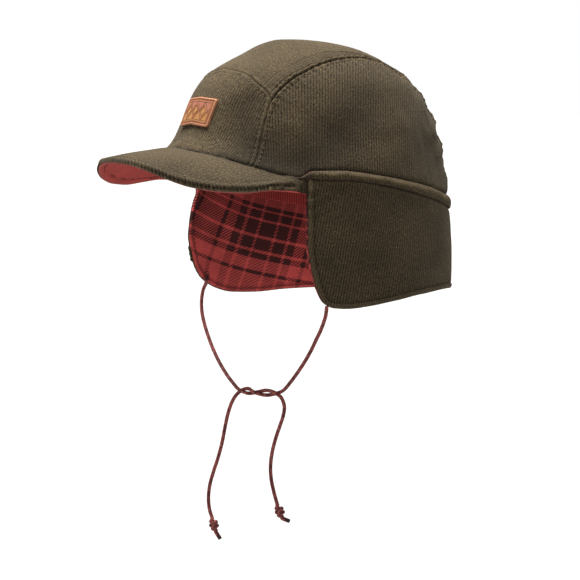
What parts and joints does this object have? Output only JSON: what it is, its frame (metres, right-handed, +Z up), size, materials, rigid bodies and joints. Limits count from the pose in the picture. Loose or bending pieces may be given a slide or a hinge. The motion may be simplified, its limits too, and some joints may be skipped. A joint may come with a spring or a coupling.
{
  "type": "earflap cap",
  "caption": "Corduroy cap with a curved peak, a long ear and nape curtain lined in plaid, and knotted chin cords.",
  "frame": {"origin": "middle of the head opening, level with the seam at the sides of the head", "axes": "+X to the wearer's left, -Y to the front where the peak points, +Z up"},
  "size_m": [0.1741, 0.2614, 0.3424],
  "materials": {
    "corduroy": "olive brown cotton corduroy with a short matt pile",
    "plaid": "brushed flannel in red and charcoal plaid",
    "flannel": "plain red brushed flannel",
    "leather": "cognac leather with a low sheen",
    "cord": "braided polyester cord, dusty red with dark flecks"
  },
  "bodies": {
    "root": {"crown_front": "corduroy", "crown_top": "corduroy", "crown_side_left": "corduroy", "crown_side_right": "corduroy", "crown_welt": "corduroy", "flap_shell": "corduroy", "flap_lining": "plaid", "sweatband": "flannel", "peak_top": "corduroy", "peak_under": "flannel", "patch": "leather", "cord_left": "cord", "cord_right": "cord", "knot_left": "cord", "knot_right": "cord"}
  },
  "joints": []
}
